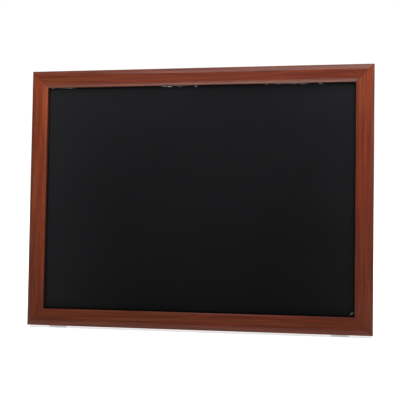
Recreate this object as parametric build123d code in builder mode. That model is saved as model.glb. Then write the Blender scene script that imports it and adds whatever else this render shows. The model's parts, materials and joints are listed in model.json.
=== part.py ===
"""Table-top menu chalkboard easel: a framed writing panel that leans on a folding rear leg frame.

Units are millimetres. +Z is up, the writing face looks towards -Y and leans back, and the origin
is on the table, under the centre of the whole object's box.
"""

import os
from math import asin, cos, degrees, radians, sin, sqrt, tan

from build123d import *

# ---- driving dimensions: the board ----
board_width = 610.0
board_height = 457.0
lean = 10.0

# ---- moulding section ----
moulding_width = 30.0
moulding_depth = 19.0
outer_arris = 0.8
outer_shoulder = 9.0
outer_radius = 12.0
inner_shoulder = 11.0
inner_radius = 26.0
rabbet_width = 8.0
rabbet_depth = 9.5

# ---- panels stacked in the rabbet, from the front ----
chalk_thickness = 0.8
core_thickness = 3.0
filler_thickness = 3.0
backing_thickness = 2.6
panel_clearance = 1.5

# ---- mitre nails ----
nail_leg = 6.0
nail_thickness = 0.8
nail_height = 7.0
nail_insets = (8.0, 15.0)
nail_clearance = 0.1

# ---- turn buttons and their screws ----
button_inset = 14.0
button_reach = 15.5
button_width = 10.0
button_thickness = 1.2
button_gap = 0.3
button_spread = 75.0
button_screw_radius = 1.6
button_screw_head_radius = 3.6
button_screw_head_height = 2.0
button_screw_length = 12.0
button_head_gap = 0.2
button_rim_radius = 0.4
button_recess_span = 3.6
button_recess_width = 0.72
button_recess_depth = 1.1

# ---- rear legs ----
leg_spread = 155.0
leg_width = 25.0
leg_thickness = 12.0
leg_edge_radius = 2.0
leg_heel = 9.0
opening_angle = 22.0
pivot_drop = 12.0
folded_gap = 2.0
stop_gap = 0.1

# ---- leg brackets and pivots ----
bracket_height = 18.0
bracket_thickness = 1.5
leg_side_gap = 0.3
pivot_radius = 2.5
running_clearance = 0.05
bolt_head_flats = 8.0
bolt_head_height = 3.5
washer_radius = 5.0
washer_thickness = 1.0
nut_height = 4.0
bolt_end = 1.2
hex_chamfer = 0.5
bracket_screw_spread = 7.0
bracket_screw_radius = 1.5
bracket_screw_head_radius = 3.0
bracket_screw_length = 12.0

# ---- crossbar ----
crossbar_height = 28.0
crossbar_thickness = 10.0
crossbar_edge_radius = 1.5
crossbar_rise = 60.0
crossbar_screw_spread = 7.0
crossbar_screw_radius = 1.9
crossbar_screw_head_radius = 3.8
crossbar_screw_length = 50.0

# ---- rubber ----
foot_rise = 2.0
foot_length = 30.0
foot_back = 1.0
foot_front = 9.0
foot_spread = 250.0
tip_thickness = 3.0
tip_length = 14.0
tip_corner = 2.0

# ---- sawtooth hanger ----
hanger_length = 46.0
hanger_height = 10.0
hanger_thickness = 0.8
hanger_tab = 9.0
hanger_stand_off = 1.8
tooth_pitch = 3.0
tooth_depth = 2.0
hanger_nail_radius = 0.7
hanger_nail_head_radius = 2.0
hanger_nail_head_height = 0.8
hanger_nail_length = 11.0

# ---- screws: point length in shank radii, cross recess in head radii and head heights ----
screw_point_taper = 1.5
recess_span_share = 1.2
recess_width_share = 0.25
recess_depth_share = 0.4

fit_clearance = 0.05

# ---- directions and reference planes ----
across = Vector(1, 0, 0)
board_up = Vector(0, sin(radians(lean)), cos(radians(lean)))
front = Vector(0, -cos(radians(lean)), sin(radians(lean)))
rear = front * -1
leg_angle = opening_angle - lean
leg_up = Vector(0, -sin(radians(leg_angle)), cos(radians(leg_angle)))
leg_rear = Vector(0, cos(radians(leg_angle)), sin(radians(leg_angle)))

# The pivot lies behind the back plane by the folded gap and half the leg.
pivot_height = board_height - pivot_drop
pivot_depth = folded_gap + leg_thickness / 2

# Reaches along Y from the lower back edge of the board, which set the origin's place.
shoulder_centre = board_up * outer_shoulder + front * (moulding_depth - outer_radius)
front_reach = shoulder_centre.Y - outer_radius
pivot_from_edge = board_up * pivot_height + rear * pivot_depth
tip_reach = pivot_from_edge.Y + (pivot_from_edge.Z + foot_rise) * tan(radians(leg_angle))
rear_reach = tip_reach + tip_length / 2
lower_edge = Vector(0, -(front_reach + rear_reach) / 2, foot_rise)
pivot_point = lower_edge + pivot_from_edge

# Board plane: x across, y up the board, z towards the viewer, on the frame's back.
board = Plane(origin=lower_edge, x_dir=across, z_dir=front)
# Side planes: x towards the rear, y up the board or up the leg, z across.
bracket_side = Plane(origin=lower_edge + board_up * pivot_height, x_dir=rear, z_dir=across)
leg_side = Plane(origin=pivot_point, x_dir=leg_rear, z_dir=across)


def on_back(x, y, depth=0.0):
    """A plane at a place on the frame's back, looking out of it."""
    place = board.from_local_coords(Vector(x, y, -depth))
    return Plane(origin=place, x_dir=across * -1, z_dir=rear)


def finish_part(builder, name):
    """Label a piece and write its STEP file."""
    builder.part.label = name
    export_step(builder.part, f"parts/{name}.step")


def countersunk_screw(shank_radius, head_radius, length, grow=0.0):
    """A 90 degree countersunk wood screw, head up at z = 0; grow makes the hole that it fills."""
    point = screw_point_taper * shank_radius
    recess_span = recess_span_share * head_radius
    recess_width = recess_width_share * head_radius
    with BuildPart(mode=Mode.PRIVATE) as screw:
        with BuildSketch(Plane.XZ):
            with BuildLine():
                Polyline(
                    (0, 0),
                    (head_radius + grow, 0),
                    (shank_radius + grow, shank_radius - head_radius),
                    (shank_radius + grow, point - length - grow),
                    (0, -length - grow),
                    close=True,
                )
            make_face()
        revolve(axis=Axis.Z)
        if grow == 0.0:
            with BuildSketch(Plane.XY):
                Rectangle(recess_span, recess_width)
                Rectangle(recess_width, recess_span)
            extrude(amount=-recess_depth_share * (head_radius - shank_radius), mode=Mode.SUBTRACT)
    return screw.part


os.makedirs("parts", exist_ok=True)

# ---- holes and slots that the frame pieces share ----
button_places = [
    (-button_spread, board_height - button_inset, 270),
    (button_spread, board_height - button_inset, 270),
    (board_width / 2 - button_inset, board_height / 2, 180),
    (button_spread, button_inset, 90),
    (-button_spread, button_inset, 90),
    (button_inset - board_width / 2, board_height / 2, 0),
]
bracket_screw_places = [
    on_back(side * leg_spread + shift * bracket_screw_spread, pivot_height, bracket_thickness)
    for side in (-1, 1)
    for shift in (-1, 1)
]
hanger_nail_places = [
    on_back(side * (hanger_length - hanger_tab) / 2, pivot_height, hanger_thickness)
    for side in (-1, 1)
]
corner_places = [
    Location((-board_width / 2, 0, 0)),
    Location((board_width / 2, 0, 0), (0, 0, 90)),
    Location((board_width / 2, board_height, 0), (0, 0, 180)),
    Location((-board_width / 2, board_height, 0), (0, 0, 270)),
]


def nail_set(grow, height):
    """Every V-nail, or with grow the slots they sit in, set in from the frame's back."""
    near = -grow
    tip = nail_leg + grow
    wall = nail_thickness + grow
    with BuildPart(mode=Mode.PRIVATE) as nails:
        with BuildSketch(board):
            with Locations(*corner_places):
                with Locations(*[(inset, inset) for inset in nail_insets]):
                    Polygon(
                        (near, near),
                        (tip, near),
                        (tip, wall),
                        (wall, wall),
                        (wall, tip),
                        (near, tip),
                        align=None,
                    )
        extrude(amount=height)
    return nails.part


nail_slots = nail_set(nail_clearance, nail_height + nail_clearance)
bracket_screw_hole = countersunk_screw(
    bracket_screw_radius, bracket_screw_head_radius, bracket_screw_length, fit_clearance
)

with BuildPart(mode=Mode.PRIVATE) as pilot_holes:
    with Locations(*[on_back(x, y) for x, y, turn in button_places]):
        Cylinder(
            button_screw_radius + fit_clearance,
            2 * (button_screw_length - button_thickness - button_gap - button_head_gap + fit_clearance),
        )
    with Locations(*bracket_screw_places):
        add(bracket_screw_hole)
    with Locations(*hanger_nail_places):
        Cylinder(
            hanger_nail_radius + fit_clearance,
            hanger_nail_length + fit_clearance,
            align=(Align.CENTER, Align.CENTER, Align.MAX),
        )


# ---- the four frame members ----
def frame_member(name, centre, inward, length):
    """A mitred, rabbeted length of moulding; centre is the middle of its outer back edge."""
    along = inward.cross(front)
    outer_sweep = degrees(asin((outer_shoulder - outer_arris) / outer_radius))
    inner_sweep = degrees(asin(inner_shoulder / inner_radius))
    inner_start = moulding_width - inner_shoulder
    outer_drop = outer_radius * (1 - cos(radians(outer_sweep)))
    side_height = moulding_depth - outer_drop - outer_arris
    with BuildPart() as member:
        with BuildSketch(Plane(origin=centre, x_dir=inward, z_dir=along)):
            with BuildLine():
                base = Polyline(
                    (moulding_width - rabbet_width, rabbet_depth),
                    (moulding_width - rabbet_width, 0),
                    (0, 0),
                    (0, side_height),
                    (outer_arris, side_height + outer_arris),
                )
                CenterArc((outer_shoulder, moulding_depth - outer_radius), outer_radius, 90, outer_sweep)
                Line((outer_shoulder, moulding_depth), (inner_start, moulding_depth))
                inner = CenterArc(
                    (inner_start, moulding_depth - inner_radius), inner_radius, 90, -inner_sweep
                )
                Polyline(inner @ 1, (moulding_width, rabbet_depth), base @ 0)
            make_face()
        extrude(amount=length / 2, both=True)
        with BuildSketch(Plane(origin=centre, x_dir=along, z_dir=front)):
            Polygon(
                (-length / 2, 0),
                (length / 2, 0),
                (length / 2 - moulding_width, moulding_width),
                (moulding_width - length / 2, moulding_width),
                align=None,
            )
        extrude(amount=moulding_depth, mode=Mode.INTERSECT)
        add(nail_slots, mode=Mode.SUBTRACT)
        add(pilot_holes.part, mode=Mode.SUBTRACT)
    finish_part(member, name)


top_edge = lower_edge + board_up * board_height
mid_height = lower_edge + board_up * (board_height / 2)
half_across = across * (board_width / 2)
frame_member("frame_top_rail", top_edge, board_up * -1, board_width)
frame_member("frame_bottom_rail", lower_edge, board_up, board_width)
frame_member("frame_left_stile", mid_height - half_across, across, board_height)
frame_member("frame_right_stile", mid_height + half_across, across * -1, board_height)

with BuildPart() as v_nails:
    add(nail_set(0.0, nail_height))
finish_part(v_nails, "v_nails")

# ---- the panels, from the writing face to the back ----
panel_edge = 2 * (moulding_width - rabbet_width + panel_clearance)
panel_width = board_width - panel_edge
panel_height = board_height - panel_edge
panels = [
    ("chalk_sheet", chalk_thickness),
    ("core_board", core_thickness),
    ("filler_board", filler_thickness),
    ("backing_board", backing_thickness),
]
panel_face = rabbet_depth
for panel_name, panel_thickness in panels:
    with BuildPart() as panel:
        with BuildSketch(board.offset(panel_face)):
            with Locations((0, board_height / 2)):
                Rectangle(panel_width, panel_height)
        extrude(amount=-panel_thickness)
    finish_part(panel, panel_name)
    panel_face -= panel_thickness

# ---- turn buttons, each free to turn on its screw ----
for number, (button_x, button_y, button_turn) in enumerate(button_places, 1):
    flat = Plane(board.offset(-button_gap).location * Location((button_x, button_y, 0), (0, 0, button_turn)))
    with BuildPart() as turn_button:
        with BuildSketch(flat):
            with Locations(((button_reach - button_width / 2) / 2, 0)):
                SlotOverall(button_reach + button_width / 2, button_width)
            Circle(button_screw_radius + fit_clearance, mode=Mode.SUBTRACT)
        extrude(amount=-button_thickness)
        outer_face = turn_button.faces().sort_by(Axis(flat.origin, flat.z_dir))[0]
        rim = outer_face.outer_wire().edges()
        fillet(rim, button_rim_radius)
    finish_part(turn_button, f"turn_button_{number}")

dome_span = button_screw_head_radius**2 + button_screw_head_height**2
dome_radius = dome_span / (2 * button_screw_head_height)
with BuildPart(mode=Mode.PRIVATE) as round_screw:
    with BuildSketch(Plane.XZ):
        with BuildLine():
            dome_start = (button_screw_head_radius, 0)
            dome_top = (0, button_screw_head_height)
            Polyline(
                dome_top,
                (0, -button_screw_length),
                (button_screw_radius, screw_point_taper * button_screw_radius - button_screw_length),
                (button_screw_radius, 0),
                dome_start,
            )
            RadiusArc(dome_start, dome_top, -dome_radius)
        make_face()
    revolve(axis=Axis.Z)
    with BuildSketch(Plane.XY.offset(button_screw_head_height)):
        Rectangle(button_recess_span, button_recess_width)
        Rectangle(button_recess_width, button_recess_span)
    extrude(amount=-button_recess_depth, mode=Mode.SUBTRACT)

button_head_depth = button_gap + button_thickness + button_head_gap
with BuildPart() as button_screws:
    with Locations(*[on_back(x, y, button_head_depth) for x, y, turn in button_places]):
        add(round_screw.part)
finish_part(button_screws, "button_screws")

# ---- leg brackets: a pressed channel with two round ears ----
ear_inner = leg_width / 2 + leg_side_gap
ear_outer = ear_inner + bracket_thickness
for side_name, side in (("left", -1), ("right", 1)):
    bracket_centre = side * leg_spread
    with BuildPart() as leg_bracket:
        with BuildSketch(bracket_side.offset(bracket_centre)):
            with Locations((pivot_depth / 2, 0)):
                Rectangle(pivot_depth, bracket_height)
            with Locations((pivot_depth, 0)):
                Circle(bracket_height / 2)
            Rectangle(
                bracket_height, bracket_height, align=(Align.MAX, Align.CENTER), mode=Mode.SUBTRACT
            )
        extrude(amount=ear_outer, both=True)
        with BuildSketch(bracket_side.offset(bracket_centre)):
            with Locations((bracket_thickness, 0)):
                Rectangle(
                    pivot_depth + bracket_height,
                    bracket_height + 2 * bracket_thickness,
                    align=(Align.MIN, Align.CENTER),
                )
        extrude(amount=ear_inner, both=True, mode=Mode.SUBTRACT)
        with BuildSketch(bracket_side.offset(bracket_centre)):
            with Locations((pivot_depth, 0)):
                Circle(pivot_radius + running_clearance)
        extrude(amount=ear_outer, both=True, mode=Mode.SUBTRACT)
        with Locations(*bracket_screw_places):
            add(bracket_screw_hole, mode=Mode.SUBTRACT)
    finish_part(leg_bracket, f"leg_bracket_{side_name}")

with BuildPart() as bracket_screws:
    with Locations(*bracket_screw_places):
        add(countersunk_screw(bracket_screw_radius, bracket_screw_head_radius, bracket_screw_length))
finish_part(bracket_screws, "bracket_screws")

# ---- pivot bolts, washers and nuts: heads outside, nuts towards the middle ----
hex_radius = bolt_head_flats / sqrt(3)
head_seat = ear_outer + washer_thickness
bolt_back = head_seat + nut_height + bolt_end

pivot_places = [
    Plane(origin=pivot_point + across * (side * leg_spread), z_dir=across * side) for side in (-1, 1)
]

with BuildPart(mode=Mode.PRIVATE) as bolt:
    with BuildSketch(Plane.XY.offset(-bolt_back)):
        Circle(pivot_radius)
    extrude(amount=bolt_back + head_seat)
    with BuildSketch(Plane.XY.offset(head_seat)):
        RegularPolygon(hex_radius, 6)
    extrude(amount=bolt_head_height)
    bolt_ends = bolt.faces().filter_by(Axis.Z).sort_by(Axis.Z)
    chamfer(bolt_ends[0].edges() + bolt_ends[-1].edges(), hex_chamfer)

with BuildPart(mode=Mode.PRIVATE) as nut:
    with BuildSketch(Plane.XY.offset(-head_seat - nut_height)):
        RegularPolygon(hex_radius, 6)
    extrude(amount=nut_height)
    chamfer(nut.faces().sort_by(Axis.Z)[0].edges(), hex_chamfer)
    with BuildSketch(Plane.XY.offset(-head_seat - nut_height)):
        Circle(pivot_radius + fit_clearance)
    extrude(amount=nut_height, mode=Mode.SUBTRACT)

with BuildPart(mode=Mode.PRIVATE) as washer_pair:
    for washer_seat in (ear_outer, -ear_outer - washer_thickness):
        with BuildSketch(Plane.XY.offset(washer_seat)):
            Circle(washer_radius)
            Circle(pivot_radius + fit_clearance, mode=Mode.SUBTRACT)
        extrude(amount=washer_thickness)

with BuildPart() as pivot_bolts:
    with Locations(*pivot_places):
        add(bolt.part)
finish_part(pivot_bolts, "pivot_bolts")

with BuildPart() as pivot_washers:
    with Locations(*pivot_places):
        add(washer_pair.part)
finish_part(pivot_washers, "pivot_washers")

with BuildPart() as pivot_nuts:
    with Locations(*pivot_places):
        add(nut.part)
finish_part(pivot_nuts, "pivot_nuts")

# ---- rear legs, cut level above their tips and bevelled to stop on the bracket ----
leg_reach = pivot_point.Z / cos(radians(leg_angle))
crossbar_drop = leg_reach - crossbar_rise
stop_plane = board.offset(-bracket_thickness - stop_gap)
crossbar_screw_places = [
    Plane(
        origin=leg_side.from_local_coords(
            Vector(0, shift * crossbar_screw_spread - crossbar_drop, side * (leg_spread + leg_width / 2))
        ),
        z_dir=across * side,
    )
    for side in (-1, 1)
    for shift in (-1, 1)
]
crossbar_screw_hole = countersunk_screw(
    crossbar_screw_radius, crossbar_screw_head_radius, crossbar_screw_length, fit_clearance
)

for side_name, side in (("left", -1), ("right", 1)):
    leg_centre = pivot_point + across * (side * leg_spread)
    leg_section = Plane(origin=leg_centre, x_dir=across, z_dir=leg_up)
    with BuildPart() as leg:
        with BuildSketch(leg_section.offset(-leg_reach - leg_thickness)):
            RectangleRounded(leg_width, leg_thickness, leg_edge_radius)
        extrude(amount=leg_reach + leg_thickness + leg_heel)
        split(bisect_by=Plane.XY.offset(tip_thickness), keep=Keep.TOP)
        split(bisect_by=stop_plane, keep=Keep.BOTTOM)
        with BuildSketch(leg_side.offset(side * leg_spread)):
            Circle(pivot_radius + running_clearance)
        extrude(amount=leg_width, both=True, mode=Mode.SUBTRACT)
        with Locations(*crossbar_screw_places):
            add(crossbar_screw_hole, mode=Mode.SUBTRACT)
    finish_part(leg, f"leg_{side_name}")

    with BuildPart() as leg_tip:
        with BuildSketch(Plane.XY):
            with Locations((side * leg_spread, lower_edge.Y + tip_reach)):
                RectangleRounded(leg_width, tip_length, tip_corner)
        extrude(amount=tip_thickness)
    finish_part(leg_tip, f"leg_tip_{side_name}")

with BuildPart() as leg_crossbar:
    with BuildSketch(leg_side):
        with Locations((0, -crossbar_drop)):
            RectangleRounded(crossbar_thickness, crossbar_height, crossbar_edge_radius)
    extrude(amount=leg_spread - leg_width / 2, both=True)
    with Locations(*crossbar_screw_places):
        add(crossbar_screw_hole, mode=Mode.SUBTRACT)
finish_part(leg_crossbar, "leg_crossbar")

with BuildPart() as crossbar_screws:
    with Locations(*crossbar_screw_places):
        add(countersunk_screw(crossbar_screw_radius, crossbar_screw_head_radius, crossbar_screw_length))
finish_part(crossbar_screws, "crossbar_screws")

# ---- rubber feet: wedges that level the leaning bottom rail ----
foot_rear_top = lower_edge + front * foot_back
foot_front_top = lower_edge + front * foot_front
for side_name, side in (("left", -1), ("right", 1)):
    with BuildPart() as foot:
        with BuildSketch(Plane.YZ.offset(side * foot_spread)):
            Polygon(
                (foot_rear_top.Y, foot_rear_top.Z),
                (foot_rear_top.Y, 0),
                (foot_front_top.Y, 0),
                (foot_front_top.Y, foot_front_top.Z),
                align=None,
            )
        extrude(amount=foot_length / 2, both=True)
    finish_part(foot, f"foot_{side_name}")

# ---- sawtooth hanger: flat end tabs and a raised middle with teeth below ----
half_hanger = hanger_length / 2
tab_end = half_hanger - hanger_tab
ramp_end = tab_end - hanger_stand_off
tooth_count = int(2 * (ramp_end - tooth_pitch) / tooth_pitch)
cut_depth = 2 * hanger_thickness
hanger_middle = board.from_local_coords(Vector(0, pivot_height, 0))
with BuildPart() as sawtooth_hanger:
    with BuildSketch(Plane(origin=hanger_middle, x_dir=across, z_dir=board_up)):
        with BuildLine():
            inner_line = Polyline(
                (-half_hanger, 0),
                (-tab_end, 0),
                (-ramp_end, hanger_stand_off),
                (ramp_end, hanger_stand_off),
                (tab_end, 0),
                (half_hanger, 0),
            )
            offset(inner_line, amount=hanger_thickness, side=Side.LEFT, kind=Kind.INTERSECTION)
        make_face()
    extrude(amount=hanger_height / 2, both=True)
    with BuildSketch(board.offset(-hanger_stand_off)):
        with Locations((0, pivot_height - hanger_height / 2)):
            with GridLocations(tooth_pitch, 1, tooth_count, 1):
                Polygon((-tooth_pitch / 2, 0), (tooth_pitch / 2, 0), (0, tooth_depth), align=None)
    extrude(amount=cut_depth, both=True, mode=Mode.SUBTRACT)
    with Locations(*hanger_nail_places):
        Cylinder(hanger_nail_radius + fit_clearance, 2 * cut_depth, mode=Mode.SUBTRACT)
finish_part(sawtooth_hanger, "sawtooth_hanger")

with BuildPart() as hanger_nails:
    with Locations(*hanger_nail_places):
        Cylinder(
            hanger_nail_radius,
            hanger_nail_length,
            align=(Align.CENTER, Align.CENTER, Align.MAX),
        )
        Cylinder(
            hanger_nail_head_radius,
            hanger_nail_head_height,
            align=(Align.CENTER, Align.CENTER, Align.MIN),
        )
finish_part(hanger_nails, "hanger_nails")

print("lower edge", lower_edge, "pivot", pivot_point, "leg reach", round(leg_reach, 3))
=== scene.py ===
# %% [markdown]
# # A table-top menu chalkboard on its folding legs
# The object is a black writing board in a mitred, stained wooden moulding. It stands on two
# rubber feet and on a leg frame that folds flat behind it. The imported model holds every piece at
# its real size, so this script adds the finishes, the light and the few thin things that a solid
# model doesn't hold. Lengths are in metres.

# %% Load the fixed frame
import bpy
import bmesh
import json
import math
import random
from mathutils import Matrix, Vector


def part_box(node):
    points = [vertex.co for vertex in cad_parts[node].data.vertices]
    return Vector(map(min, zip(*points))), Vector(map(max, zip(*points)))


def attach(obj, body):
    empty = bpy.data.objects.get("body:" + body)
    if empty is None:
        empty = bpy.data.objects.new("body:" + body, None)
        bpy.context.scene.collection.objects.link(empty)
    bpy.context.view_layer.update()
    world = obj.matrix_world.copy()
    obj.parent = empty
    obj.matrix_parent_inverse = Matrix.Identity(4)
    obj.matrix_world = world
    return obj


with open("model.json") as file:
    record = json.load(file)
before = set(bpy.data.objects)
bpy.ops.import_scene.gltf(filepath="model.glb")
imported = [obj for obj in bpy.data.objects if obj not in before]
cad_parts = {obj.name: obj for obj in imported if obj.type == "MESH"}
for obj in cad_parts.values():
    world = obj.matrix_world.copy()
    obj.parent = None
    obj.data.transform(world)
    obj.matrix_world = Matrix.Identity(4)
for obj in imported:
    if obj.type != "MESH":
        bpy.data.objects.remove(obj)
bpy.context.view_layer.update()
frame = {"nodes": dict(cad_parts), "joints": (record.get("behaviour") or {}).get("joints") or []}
nodes = frame["nodes"]
mm = 0.001
print("pieces in the packed model:", len(nodes))

# %% [markdown]
# ## Finding the board
# The board leans back, so nearly everything on it is easier to place in its own directions:
# across, up the board and out of its back. A turn button turns about the axis that stands
# square on the back, so its joint tells the lean. The writing sheet is a plain slab, and the
# height and depth of its leaning box give back the slab's own height and thickness.

# %% The board's directions and the writing sheet's corners
joints = {joint["name"]: joint for joint in frame["joints"]}
across = Vector((1, 0, 0))
rear = Vector(joints["button_1_turn"]["axis"]).normalized()
up = across.cross(rear)
lean = math.atan2(up.y, up.z)


def slab_size(node):
    """The height up the board and the thickness of a slab that leans with the board."""
    low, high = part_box(node)
    deep, tall = high.y - low.y, high.z - low.z
    height = (tall * math.cos(lean) - deep * math.sin(lean)) / math.cos(2 * lean)
    return height, (deep - height * math.sin(lean)) / math.cos(lean)


sheet_low, sheet_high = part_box("chalk_sheet")
sheet_height, sheet_thickness = slab_size("chalk_sheet")
sheet_foot = Vector((0, sheet_low.y, sheet_low.z + sheet_thickness * math.sin(lean)))
sheet_middle = sheet_foot + up * (sheet_height / 2)
middle_height = sheet_middle.dot(up)
print("lean", round(math.degrees(lean), 2), "degrees, sheet", round(sheet_height / mm, 1), "mm high")


def on_board(x, height, proud=0.0):
    """A place in the row frame: x across, height from the sheet's middle, proud of its face."""
    return sheet_middle + across * x + up * height - rear * proud


# %% [markdown]
# ## Writing shader sums as sums
# A finish is mostly arithmetic on patterns, and a long chain of Math nodes is hard to read when
# it is wired by hand. A small class wraps a socket, so that `0.4 + 0.2 * grain` adds the nodes
# by itself. Colours go through Mix nodes instead, because a Math node would turn them grey.

# %% A signal that can be added and multiplied
class Signal:
    """A number that varies over a surface."""

    def __init__(self, graph, socket):
        self.graph, self.socket = graph, socket

    def sum_with(self, operation, *values):
        """A Math node that takes values, which are signals or plain numbers."""
        return self.graph.add("ShaderNodeMath", {"operation": operation}, dict(enumerate(values)))

    def __add__(self, other):
        return self.sum_with("ADD", self, other)

    def __sub__(self, other):
        return self.sum_with("SUBTRACT", self, other)

    def __rsub__(self, other):
        return self.sum_with("SUBTRACT", other, self)

    def __mul__(self, other):
        return self.sum_with("MULTIPLY", self, other)

    def __truediv__(self, other):
        return self.sum_with("DIVIDE", self, other)

    def __pow__(self, other):
        return self.sum_with("POWER", self, other)

    def __abs__(self):
        return self.sum_with("ABSOLUTE", self)

    __radd__, __rmul__ = __add__, __mul__

    def least(self, other):
        """The smaller of two signals."""
        return self.sum_with("MINIMUM", self, other)

    def zigzag(self, top):
        """Up to top and down again, over and over, as the signal grows."""
        return self.sum_with("PINGPONG", self, top)

    def above(self, low, high):
        """0 below low, 1 above high, and a smooth step between."""
        limits = {"Value": self, "From Min": low, "From Max": high}
        return self.graph.add("ShaderNodeMapRange", {"interpolation_type": "SMOOTHSTEP"}, limits)


# %% [markdown]
# ## One way to add a node
# Materials and the sky are both graphs of nodes. One method puts every node in: the settings
# come first, since they decide which sockets a node has, and then the sockets get their values
# or links. Wiring by hand would need three or four lines for each node.

# %% A graph of nodes
class Graph:
    """The nodes of a material or of the sky."""

    def __init__(self, tree):
        self.tree = tree
        self.tree.nodes.clear()

    def add(self, kind, settings, inputs, output=0):
        """One node: its settings first, then a value or a link for each socket."""
        node = self.tree.nodes.new(kind)
        for name, value in settings.items():
            if name == "stops":
                self.set_stops(node.color_ramp.elements, value)
            else:
                setattr(node, name, value)
        for name, value in inputs.items():
            self.wire(node.inputs[name], value)
        return Signal(self, node.outputs[output] if node.outputs else None)

    def set_stops(self, elements, stops):
        """Give a ramp its stops, each a place and a colour."""
        while len(elements) < len(stops):
            elements.new(1.0)
        for element, (place, colour) in zip(elements, stops):
            element.position, element.color = place, (*colour, 1.0)

    def wire(self, socket, value):
        """Link a signal to a socket, or set the socket's own value."""
        if isinstance(value, Signal):
            self.tree.links.new(value.socket, socket)
        else:
            socket.default_value = value


# %% [markdown]
# ## A finish
# A finish is one material around a Principled shader. Numbers that are the same all over are set
# on the shader's sockets when it is made, and patterns are fed in afterwards. The patterns lie on
# Object coordinates, so they need no unwrapping and keep their real size on every piece.

# %% A finish and its patterns
class Finish(Graph):
    """One material, built node by node around a Principled shader."""

    def __init__(self, name, **fixed):
        self.material = bpy.data.materials.new(name)
        self.material.use_nodes = True
        super().__init__(self.material.node_tree)
        surface = self.add("ShaderNodeBsdfPrincipled", {}, {})
        self.shader = surface.socket.node
        self.add("ShaderNodeOutputMaterial", {}, {"Surface": surface})
        self.feed(**fixed)

    def feed(self, **signals):
        """Give signals or plain values to the shader's own sockets."""
        for name, value in signals.items():
            self.wire(self.shader.inputs[name.replace("_", " ")], value)

    def place(self, turn=0.0, scale=(1, 1, 1), shift=(0, 0, 0)):
        """Object coordinates, turned about X so that they follow a leaning piece, then scaled."""
        where = self.add("ShaderNodeTexCoord", {}, {}, output="Object")
        turned = self.add("ShaderNodeMapping", {}, {"Vector": where, "Rotation": (turn, 0, 0)})
        return self.add("ShaderNodeMapping", {}, {"Vector": turned, "Scale": scale, "Location": shift})

    def part(self, place, axis):
        """One coordinate of a place."""
        return self.add("ShaderNodeSeparateXYZ", {}, {0: place}, output=axis)

    def facing(self, direction):
        """1 where the surface faces a direction, 0 side on to it and -1 where it faces away."""
        normal = self.add("ShaderNodeTexCoord", {}, {}, output="Normal")
        settings = {"operation": "DOT_PRODUCT"}
        return self.add("ShaderNodeVectorMath", settings, {0: normal, 1: direction}, output="Value")

    def noise(self, place, scale, detail=4.0, roughness=0.5, distortion=0.0):
        """Noise around 0.5, with scale features to the metre."""
        inputs = {"Vector": place, "Scale": scale, "Detail": detail, "Roughness": roughness}
        return self.add("ShaderNodeTexNoise", {}, {**inputs, "Distortion": distortion})

    def mix(self, factor, first, second, blend="MIX"):
        """Mix two colours; a colour is a signal or three numbers."""
        first, second = [c if isinstance(c, Signal) else (*c, 1.0) for c in (first, second)]
        settings = {"data_type": "RGBA", "blend_type": blend}
        # A Mix node's sockets share their names, so the colours go by number: 6, 7 and out by 2.
        return self.add("ShaderNodeMix", settings, {0: factor, 6: first, 7: second}, output=2)

    def bump(self, height, depth, strength=1.0, after=None):
        """Raise a surface by height times depth, on top of an earlier bump."""
        inputs = {"Height": height, "Distance": depth, "Strength": strength}
        if after:
            inputs["Normal"] = after
        return self.add("ShaderNodeBump", {}, inputs)

    def paint(self, *names):
        """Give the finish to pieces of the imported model, in place of what they had."""
        for name in names:
            nodes[name].data.materials.clear()
            nodes[name].data.materials.append(self.material)
        print(self.material.name, "on", len(names), "pieces")


# %% [markdown]
# ## Where the members meet
# The four members are cut at 45 degrees and meet at the corners. Measured from the board's
# middle, a mitre runs where the distance across and the distance up differ by the same amount
# all along it, so one subtraction tells how far any point is from the nearest mitre.

# %% The opening in the frame and the mitres' offset
opening_half_width = -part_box("frame_left_stile")[1].x
mitre_offset = sheet_high.x - sheet_height / 2
opening_half_height = opening_half_width - mitre_offset
print("opening", round(2 * opening_half_width / mm), "x", round(2 * opening_half_height / mm), "mm")

# %% [markdown]
# ## Stained and lacquered wood
# The moulding is a straight-grained wood under a red-brown stain. Several scales of figure make
# it read as wood: soft bands that turn from red to brown, streaks a few millimetres wide, fine
# fibres, and the short dark pores that the stain settles in. All are stretched along the grain,
# so each is one Noise texture on coordinates that are squeezed along the piece. Rails and stiles
# have their grain at right angles, so the finish is a function of the grain's direction.

# %% Stain colours and the figure of the wood
stain_red, stain_brown = (0.090, 0.0146, 0.0053), (0.095, 0.0210, 0.0073)
# The near-black serves the pores, the end grain and the mitre seams, and also paints shade on the
# frame's side faces.
pore_and_shade_dark, thin_stain = (0.012, 0.0028, 0.0018), (0.165, 0.072, 0.032)


def figure(wood, turn, along, shift, length, width, detail=4, roughness=0.6, distortion=0.0):
    """Noise with features this long along the grain, which is axis number along, and this wide."""
    scale = tuple(1 / length if axis == along else 1 / width for axis in range(3))
    return wood.noise(wood.place(turn, scale, shift), 1.0, detail, roughness, distortion)


# %% [markdown]
# The frame's members show more than their grain. Their backs have thin stain and no lacquer, the
# square side faces are darkened as painted shade, and a fine dark line runs along each mitre.
# Each of these is a mask, made from the way the surface faces or from its distance to the mitre.

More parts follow.
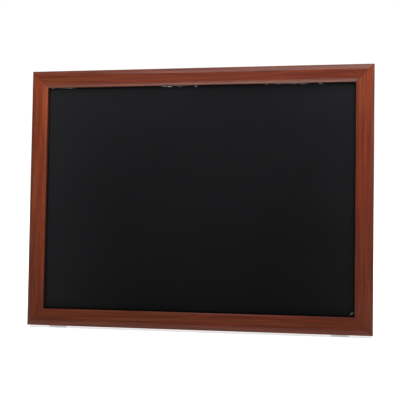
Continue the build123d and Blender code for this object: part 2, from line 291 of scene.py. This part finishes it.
# %% Marks on the frame's members
def mark_member(wood, turn, along, streaks, colour, lacquer):
    """The bare back, the sides darkened as painted shade and the mitre seam: returns the colour and
    the lacquer.
    """
    spot = wood.place(turn)
    to_mitre = abs(wood.part(spot, 0)) - abs(wood.part(spot, 2) - middle_height) - mitre_offset
    seam = 1 - abs(to_mitre).above(0.1 * mm, 0.5 * mm)
    # Painted shade: the faces that stand square to the front, outer sides and inner lip walls, are
    # darkened.
    shaded_side = abs(wood.facing(up if along == 0 else across)).above(0.93, 0.99)
    bare = wood.facing(rear).above(0.93, 0.99)
    colour = wood.mix(bare * (0.35 + 0.3 * streaks), colour, thin_stain)
    colour = wood.mix(shaded_side * (0.5 + 0.25 * streaks), colour, pore_and_shade_dark)
    colour = wood.mix(seam * 0.6, colour, pore_and_shade_dark)
    return colour, lacquer * (1 - bare) * (1 - seam) * (1 - 0.8 * shaded_side)


# %% [markdown]
# The finish itself puts the scales of figure together. The stain is a colour that the streaks
# and fibres lighten or darken by multiplying it, and the pores and the end grain, which drink
# more stain, pull it towards a near-black. The lacquer is the shader's coat: thin, a little worn,
# and open over the pores. On the stiles the colour is painted lighter towards the top: painted
# light, standing in for the light from above that falls more on their upper ends.

# %% The wood finish
def wood_finish(name, turn, along, shift, tone_and_light, coat, painted_top_light=0.0, frame_member=False):
    """Stained wood whose grain runs along one axis of coordinates turned to the piece."""
    wood = Finish(name, Coat_IOR=1.5, Coat_Roughness=0.23, Specular_IOR_Level=0.05)
    bands = figure(wood, turn, along, shift, 420 * mm, 10 * mm, 3, 0.5, 0.5)
    streaks = figure(wood, turn, along, shift, 100 * mm, 2.6 * mm, 4, 0.62, 0.3)
    fibres = figure(wood, turn, along, shift, 26 * mm, 0.7 * mm)
    pores = figure(wood, turn, along, shift, 11 * mm, 0.45 * mm, 2, 0.5).above(0.62, 0.70)
    wear = figure(wood, turn, along, shift, 120 * mm, 50 * mm)
    # The tone scales the colour; on the frame's members it is partly painted light and shade.
    shade = tone_and_light * (0.50 + 0.72 * streaks.above(0.28, 0.72) + 0.30 * fibres)
    # Painted light: the colour is made lighter towards the top, for the light that falls from above.
    if painted_top_light:
        shade = shade * (1 + painted_top_light * (wood.part(wood.place(turn), 2) - middle_height) / sheet_height)
    grain = across if along == 0 else Vector((0, math.sin(turn), math.cos(turn)))
    end = abs(wood.facing(grain)).above(0.75, 0.95)
    colour = wood.mix(bands.above(0.40, 0.60), stain_red, stain_brown)
    colour = wood.mix(1.0, colour, shade, "MULTIPLY")
    colour = wood.mix(pores * 0.5, colour, pore_and_shade_dark)
    colour = wood.mix(end * (0.45 + 0.3 * fibres), colour, pore_and_shade_dark)
    lacquer = coat * (0.75 + 0.5 * wear) * (1 - 0.7 * pores) * (1 - 0.6 * end)
    if frame_member:
        colour, lacquer = mark_member(wood, turn, along, streaks, colour, lacquer)
    relief = wood.bump(streaks * 0.5 + fibres * 0.5, 0.12 * mm, 0.6)
    wood.feed(
        Base_Color=colour,
        Roughness=0.42 + 0.12 * streaks + 0.1 * wear,
        Coat_Weight=lacquer,
        Normal=wood.bump(pores, -0.1 * mm, 0.5, after=relief),
    )
    return wood


# %% [markdown]
# ## Wood on each member
# Each member is its own length of moulding, so each gets its own stretch of the figure, moved by
# a shift, and its own tone. The tones are partly natural variation and partly painted light and
# shade: the bottom rail is the darkest, which paints the shade it takes under light from above,
# and the stiles' tones are raised to paint light that the lamps give them too little of. The
# bottom rail has the least lacquer left.

# %% Wood for the frame's four members
members = {  # grain axis, shift of the figure, tone and painted light, lacquer, painted light towards the top
    "frame_top_rail": (0, (0.3, 2.0, 7.0), 0.98, 0.38, 0.0),
    "frame_bottom_rail": (0, (4.7, 1.0, 3.0), 0.90, 0.26, 0.0),
    "frame_left_stile": (2, (5.0, 3.0, 1.7), 1.22, 0.38, 0.48),
    "frame_right_stile": (2, (9.0, 6.0, 8.3), 1.08, 0.38, 0.35),
}
for member, figure_tone_and_light in members.items():
    wood_finish(f"{member}_wood", lean, *figure_tone_and_light, frame_member=True).paint(member)
print("members painted:", len(members))

# %% [markdown]
# ## Wood on the leg frame
# The legs lean the other way, so their grain has to follow their own slope. The line from the
# middle of a leg's tip to the pivot gives that slope. Their wood is a little paler and thinly
# lacquered.

# %% Wood for the legs and the crossbar
pivot = Vector(joints["leg_fold"]["pos_m"])
tip_low, tip_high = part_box("leg_tip_left")
leg_lean = math.atan2(pivot.y - (tip_low.y + tip_high.y) / 2, pivot.z)
leg_tone, leg_lacquer = 1.25, 0.25
leg_wood = wood_finish("leg_wood", leg_lean, 2, (1.0, 8.0, 2.0), leg_tone, leg_lacquer)
leg_wood.paint("leg_left", "leg_right")
crossbar_wood = wood_finish("crossbar_wood", leg_lean, 0, (6.0, 2.0, 5.0), leg_tone, leg_lacquer)
crossbar_wood.paint("leg_crossbar")
print("legs lean", round(math.degrees(leg_lean), 2), "degrees")

# %% [markdown]
# ## The writing surface
# A chalkboard face is a matt black coat with a fine tooth that the chalk catches on. It isn't
# evenly black: wiping leaves a faint haze, broad and soft. The haze lifts the black a little and
# the tooth is a fine bump, so the face takes light without a hard reflection. On top of the haze
# the face is painted lighter towards the top, the sides and the left: a painted sheen for the
# light it reflects there. Haze and sheen stop a few millimetres short of the moulding, which
# paints a dark shadow along the seam under the moulding's lip.

# %% The chalk face
clean_black, chalk_and_sheen_grey = (0.0028, 0.0028, 0.0033), (0.040, 0.041, 0.044)
painted_shadow_margin = 4.5 * mm
chalk = Finish("chalk_black", Specular_IOR_Level=0.03)
haze = chalk.noise(chalk.place(lean, (1, 1, 1), (3, 1, 2)), 5.0, 6, 0.62, 0.5)
wipes = chalk.noise(chalk.place(lean, (2.2, 1, 14), (1, 4, 9)), 1.0, 4, 0.6, 0.8)
tooth = chalk.noise(chalk.place(lean), 1900.0, 3, 0.6)
x_from_middle = chalk.part(chalk.place(), 0)
z_from_middle = chalk.part(chalk.place(lean), 2) - middle_height
side = abs(x_from_middle) / sheet_high.x
rise = z_from_middle / sheet_height + 0.5
left = 0.5 - x_from_middle / (2 * sheet_high.x)
dust_and_sheen = 0.3 * haze.above(0.35, 0.75) + 0.25 * wipes.above(0.4, 0.8)
# Painted sheen: lighter towards the sides, the top and the left, for the light the face reflects
# there.
dust_and_sheen = dust_and_sheen + 0.7 * side ** 4 + 0.6 * rise ** 2 + 0.7 * left ** 3
# Painted shadow: the haze and sheen fade out close to the moulding, leaving a dark line along the seam
# under its lip.
from_stile = opening_half_width - abs(x_from_middle)
from_rail = opening_half_height - abs(z_from_middle)
from_moulding = from_stile.least(from_rail)
dust_and_sheen = dust_and_sheen * from_moulding.above(0.5 * mm, painted_shadow_margin)
chalk.feed(
    Base_Color=chalk.mix(dust_and_sheen * (0.6 + 0.8 * tooth) * 0.1, clean_black, chalk_and_sheen_grey),
    Roughness=0.62 + 0.2 * haze,
    Normal=chalk.bump(tooth, 0.06 * mm, 0.6),
)
chalk.paint("chalk_sheet")
print("the haze stops", painted_shadow_margin / mm, "mm short of the moulding")

# %% [markdown]
# ## Boards behind the face
# The back panel and the core are pressed fibre: brown, matt, and speckled with short fibres. The
# filler is raw card, which shows its flutes at the edge.

# %% Pressed fibre
def fibre_finish(name, light, dark, size):
    """Pressed fibre: a matt brown with short pale and dark fibres lying every way."""
    board = Finish(name, Specular_IOR_Level=0.2)
    mottle = board.noise(board.place(lean), 8.0, 4, 0.55)
    specks = board.noise(board.place(lean), 1 / size, 3, 0.7, 1.5)
    fine = board.noise(board.place(lean), 3 / size, 2, 0.6)
    colour = board.mix(mottle * 0.6 + 0.4 * fine, dark, light)
    colour = board.mix(specks.above(0.58, 0.72) * 0.3, colour, tuple(1.5 * c for c in light))
    colour = board.mix((1 - specks.above(0.30, 0.44)) * 0.45, colour, tuple(0.5 * c for c in dark))
    board.feed(
        Base_Color=colour,
        Roughness=0.68 + 0.2 * specks,
        Normal=board.bump(specks, 0.15 * mm, 0.5),
    )
    return board


back = fibre_finish("back_panel", (0.205, 0.120, 0.066), (0.135, 0.074, 0.040), 2.2 * mm)
back.paint("backing_board")
core = fibre_finish("core_fibre", (0.160, 0.090, 0.050), (0.110, 0.060, 0.034), 1.6 * mm)
core.paint("core_board")

# %% [markdown]
# The card's flutes are a plain repeating pattern: the distance across the card, counted in
# flutes, goes up and down once for each. A ping-pong of that number is the whole pattern.

# %% Corrugated card
flute_pitch = 6 * mm
card = Finish("filler_card")
flute_count = card.part(card.place(scale=(1 / flute_pitch, 1, 1)), 0)
flutes = flute_count.zigzag(1.0)
card.feed(
    Base_Color=card.mix(flutes, (0.20, 0.13, 0.075), (0.42, 0.30, 0.18)),
    Roughness=0.85 - 0.1 * flutes,
    Normal=card.bump(flutes, 0.1 * mm, 0.5),
)
card.paint("filler_board")
print("flutes every", flute_pitch / mm, "mm")

# %% [markdown]
# ## Plated steel
# Buttons, brackets and screws are cheap bright zinc. Zinc plate is never a clean mirror: it has a
# fine rolled grain, a slight blue and yellow bloom, and dull spots where it has been handled.

# %% The zinc finishes
def zinc_finish(name, tint, dull, grain_size):
    """Zinc plate with a rolled grain and handled, duller patches."""
    zinc = Finish(name, Metallic=1.0)
    rolled = zinc.noise(zinc.place(lean, (1, 1, 0.12)), 1 / grain_size, 3, 0.6)
    bloom = zinc.noise(zinc.place(lean), 90.0, 3, 0.5)
    spots = zinc.noise(zinc.place(lean), 900.0, 3, 0.6)
    bloom_tint = (tint[0] * 1.06, tint[1] * 0.98, tint[2] * 0.86)
    colour = zinc.mix(bloom.above(0.3, 0.7), tint, bloom_tint)
    colour = zinc.mix(spots.above(0.56, 0.74) * 0.5, colour, tuple(0.55 * c for c in tint))
    zinc.feed(
        Base_Color=colour,
        Roughness=dull + 0.14 * rolled + 0.18 * spots,
        Normal=zinc.bump(rolled, 0.03 * mm, 0.5),
    )
    return zinc


buttons = [name for name in nodes if name.startswith("turn_button_")]
plate = zinc_finish("zinc_plate", (0.46, 0.47, 0.485), 0.30, 0.6 * mm)
plate.paint("leg_bracket_left", "leg_bracket_right", "sawtooth_hanger", *buttons)
screw_steel = zinc_finish("screw_steel", (0.42, 0.42, 0.42), 0.24, 0.4 * mm)
screw_steel.paint("button_screws", "bracket_screws", "crossbar_screws", "hanger_nails")
screw_steel.paint("pivot_bolts", "pivot_nuts", "pivot_washers")
nail_steel = zinc_finish("nail_steel", (0.30, 0.31, 0.33), 0.34, 0.3 * mm)
nail_steel.paint("v_nails")
print("turn buttons plated:", len(buttons))

# %% [markdown]
# ## Rubber
# The leg tips are moulded black rubber, matt and slightly grey where dust clings. The pads under
# the frame are the clear kind, which look milky and pale. Clear rubber could be made with
# transmission, but on pads a few millimetres thick a pale, smoother finish looks the same.

# %% The rubber finishes
def rubber_finish(name, clean, dusty, dull):
    """Moulded rubber with dust in the low places of its skin."""
    rubber = Finish(name, Specular_IOR_Level=0.35)
    dust_mask = rubber.noise(rubber.place(), 260.0, 4, 0.6)
    skin = rubber.noise(rubber.place(), 2200.0, 2)
    rubber.feed(
        Base_Color=rubber.mix(dust_mask.above(0.45, 0.8) * 0.5, clean, dusty),
        Roughness=dull + 0.25 * dust_mask,
        Normal=rubber.bump(skin, 0.05 * mm, 0.5),
    )
    return rubber


black_rubber = rubber_finish("black_rubber", (0.014, 0.014, 0.015), (0.05, 0.048, 0.045), 0.62)
black_rubber.paint("leg_tip_left", "leg_tip_right")
clear_rubber = rubber_finish("clear_rubber", (0.86, 0.855, 0.84), (0.70, 0.69, 0.66), 0.32)
clear_rubber.paint("foot_left", "foot_right")

# %% [markdown]
# ## Torn protective film
# A new board's face is covered with thin clear film. Pulled off, it tears along the moulding and
# leaves ragged slivers caught in the seam, mostly under the top rail, with one in a low corner.
# The film is clear where it lies flat and whitish where it is creased, so one noise sets both
# its transparency and its bump.

# %% The film's finish
film = Finish("torn_film", Roughness=0.2, Specular_IOR_Level=0.6, IOR=1.5)
creases = film.noise(film.place(), 420.0, 2, 0.5, 1.2)
film.feed(
    Base_Color=film.mix(creases, (0.42, 0.41, 0.40), (0.72, 0.71, 0.70)),
    Alpha=0.12 + 0.5 * creases.above(0.45, 0.68),
    Normal=film.bump(creases, 0.25 * mm, 0.6),
)

# %% [markdown]
# A shape that bmesh operators have made becomes a piece of the scene in three steps: its faces go
# into a mesh, an object shows the mesh, and the object is linked into the scene. The object stays
# at the origin, since the shape already has its place, so Object coordinates fit it too.

# %% A new piece from a shape
def new_piece(name, shape, finish):
    """An object in the scene that shows a bmesh shape, which is freed."""
    mesh = bpy.data.meshes.new(name)
    shape.to_mesh(mesh)
    shape.free()
    mesh.materials.append(finish.material)
    piece = bpy.data.objects.new(name, mesh)
    bpy.context.scene.collection.objects.link(piece)
    return piece


# %% [markdown]
# Each sliver starts as a small grid of faces. One long edge stays in the seam, the other is torn
# to uneven widths, and the strip curls out of the seam before it gets its thickness. Moving the
# vertices of a ready grid keeps every face joined to its neighbours. A real film is thinner
# still, but a face with two sides a hair apart is safe to export.

# %% A torn sliver
film_thickness = 0.06 * mm
tear_pitch = 1.5 * mm


def torn_sliver(name, middle, along, out, length, width, curl, seed):
    """A torn strip that starts in the seam at middle, runs along it, and curls out of it."""
    chance = random.Random(seed)
    columns = max(5, round(length / tear_pitch))
    torn = [chance.uniform(0.25, 1.0) for column in range(columns + 1)]
    wave = [chance.uniform(0.4, 1.0) for column in range(columns + 1)]
    strip = bmesh.new()
    bmesh.ops.create_grid(strip, x_segments=columns, y_segments=3, size=0.5)
    for vertex in strip.verts:
        share, reach = vertex.co.x, vertex.co.y + 0.5
        column = round((share + 0.5) * columns)
        taper = 1 - (2 * abs(share)) ** 4
        down = width * torn[column] * taper * reach
        proud = curl * wave[column] * math.sin(2.2 * reach) + 0.1 * mm
        vertex.co = middle + along * (share * length) + out * down - rear * proud
    bmesh.ops.subdivide_edges(strip, edges=strip.edges, cuts=1, smooth=0.5, use_grid_fill=True)
    bmesh.ops.recalc_face_normals(strip, faces=strip.faces)
    bmesh.ops.solidify(strip, geom=strip.faces[:], thickness=film_thickness)
    bmesh.ops.recalc_face_normals(strip, faces=strip.faces)
    piece = new_piece(name, strip, film)
    piece.data.shade_smooth()
    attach(piece, "frame")
    print(name, round(length / mm, 1), "mm long,", len(piece.data.polygons), "faces")


# %% [markdown]
# The slivers sit where the film tore: a long flat one at the left, a tangle left of the middle,
# and a ragged row at the right. The low corner has one that lies across it.

# %% Slivers along the top seam and in the low corner
tucked_under = 0.3 * mm
slivers = (  # across from the middle, length, width and curl, all in millimetres
    (-240, 40, 1.6, 0.8),
    (-268, 6, 3.0, 1.2),
    (-54, 24, 4.0, 6.8),
    (-30, 24, 2.8, 4.4),
    (-3, 6, 3.8, 4.4),
    (123, 7, 4.2, 5.2),
    (145, 24, 2.2, 2.6),
    (170, 26, 1.8, 1.8),
    (186, 15, 3.8, 7.6),
    (215, 7, 4.4, 5.0),
)
for number, sliver in enumerate(slivers, 1):
    x, length, width, curl = (size * mm for size in sliver)
    seam = on_board(x, opening_half_height + tucked_under)
    torn_sliver(f"film_sliver_{number}", seam, across, up * -1, length, width, curl, number)
corner = on_board(opening_half_width - 3.9 * mm, 5.6 * mm - opening_half_height)
slope, out_of_corner = (across + up * 0.75).normalized(), (up - across).normalized()
torn_sliver("film_sliver_corner", corner, slope, out_of_corner, 9 * mm, 3 * mm, 3 * mm, seed=31)

# %% [markdown]
# ## The floor
# The object stands on a plain pale surface. One large quad is enough, because nothing on it is
# near. It gives off a little light of its own, so that it stays white at every angle. It isn't
# part of the object.

# %% Floor
floor_half = 60.0
floor_finish = Finish(
    "pale_floor",
    Base_Color=(0.80, 0.80, 0.80, 1.0),
    Roughness=0.7,
    Specular_IOR_Level=0.1,
    Emission_Color=(1.0, 1.0, 1.0, 1.0),
    Emission_Strength=0.72,
)
floor_shape = bmesh.new()
bmesh.ops.create_grid(floor_shape, x_segments=1, y_segments=1, size=floor_half)
new_piece("floor", floor_shape, floor_finish)
print("floor", 2 * floor_half, "m wide")

# %% [markdown]
# ## The sky
# A satin moulding shows its shape by what it reflects: bright above, bright floor below, and
# dimmer in front. So the sky that lights the object is nearly dark at the horizon and grows
# lighter with height. The sky that the lens sees is plain white: Light Path tells the two apart.

# %% Sky
world = bpy.data.worlds.new("studio")
bpy.context.scene.world = world
world.use_nodes = True
sky = Graph(world.node_tree)
direction = sky.add("ShaderNodeTexCoord", {}, {}, output="Generated")
height = sky.add("ShaderNodeSeparateXYZ", {}, {0: direction}, output="Z")
grey_by_height = {"stops": [(0.0, (0.03, 0.03, 0.03)), (0.9, (0.40, 0.40, 0.40))]}
grey = sky.add("ShaderNodeValToRGB", grey_by_height, {0: height})
dome = sky.add("ShaderNodeBackground", {}, {"Color": grey})
backdrop = sky.add("ShaderNodeBackground", {}, {"Color": (1.0, 1.0, 1.0, 1.0), "Strength": 1.04})
seen = sky.add("ShaderNodeLightPath", {}, {}, output="Is Camera Ray")
chosen = sky.add("ShaderNodeMixShader", {}, {0: seen, 1: dome, 2: backdrop})
sky.add("ShaderNodeOutputWorld", {}, {"Surface": chosen})
print("sky nodes:", len(world.node_tree.nodes))

# %% [markdown]
# ## Lamps
# A large soft panel hangs over the front of the board and draws the bright band on the outer
# shoulder of the top rail. A pool of light on the floor in front does the same for the inner
# slope, which reflects the floor. A weak lamp at the right and one behind fill the shadows, and
# a broad sun lifts the floor evenly.

# %% Lamps
def lamp(name, kind, place, aim, energy, **settings):
    """A lamp at a place, turned towards aim."""
    data = bpy.data.lights.new(name, kind)
    data.energy = energy
    for setting, value in settings.items():
        setattr(data, setting, value)
    thing = bpy.data.objects.new(name, data)
    thing.location = place
    thing.rotation_euler = (Vector(aim) - Vector(place)).to_track_quat("-Z", "Y").to_euler()
    bpy.context.scene.collection.objects.link(thing)


def soft_panel(width, height):
    """The settings of a rectangular area lamp."""
    return {"shape": "RECTANGLE", "size": width, "size_y": height}


pool_place, pool_aim = (0.1, -1.8, 2.2), (0.1, -1.8, 0)
pool_cone = {"spot_size": math.radians(55), "spot_blend": 0.8}
lamp("panel", "AREA", (0.28, -0.37, 1.04), (0.1, -0.02, 0.34), 12.6, **soft_panel(1.5, 0.62))
lamp("side", "AREA", (1.5, -0.7, 0.8), (0, 0, 0.25), 2.5, **soft_panel(0.8, 0.8))
lamp("behind", "AREA", (-0.4, 1.2, 1.3), (0, 0, 0.2), 9.0, **soft_panel(1.5, 0.7))
lamp("low_front", "SPOT", pool_place, pool_aim, 1700.0, **pool_cone)
lamp("even_sun", "SUN", (0, 0, 5), (0, 0, 0), 0.5, angle=math.radians(40))
print("lamps:", len(bpy.data.lights))

# %% [markdown]
# ## Camera
# The lens looks from the viewer's right and a little above, at about three widths' distance,
# with a small roll. The camera is placed by two angles and a distance from the middle of the
# frame's front, then aimed slightly off that middle, which frames the board without any shift.

# %% Camera
lens_length, sensor_width = 85.5, 36.0
azimuth, elevation, roll = math.radians(12.2), math.radians(6.86), math.radians(-1.18)
distance = 1.652
aim_offset = Vector((7.9 * mm, -3.4 * mm, 0))
frame_middle = on_board(0, 0, 5.5 * mm)
camera_data = bpy.data.cameras.new("camera")
camera_data.sensor_width, camera_data.lens = sensor_width, lens_length
camera = bpy.data.objects.new("camera", camera_data)
bpy.context.scene.collection.objects.link(camera)
bpy.context.scene.camera = camera
ground = Vector((math.sin(azimuth), -math.cos(azimuth), 0))
backwards = ground * math.cos(elevation) + Vector((0, 0, math.sin(elevation)))
camera.location = frame_middle + backwards * distance
level = (backwards * -1).to_track_quat("-Z", "Y").to_matrix()
aim = frame_middle + level @ aim_offset
towards = (aim - camera.location).to_track_quat("-Z", "Y").to_matrix().to_4x4()
camera.rotation_euler = (towards @ Matrix.Rotation(roll, 4, "Z")).to_euler()
print("camera", round(distance, 3), "m from the frame's middle")

# %% Finish
bpy.context.scene.view_settings.view_transform = "Standard"
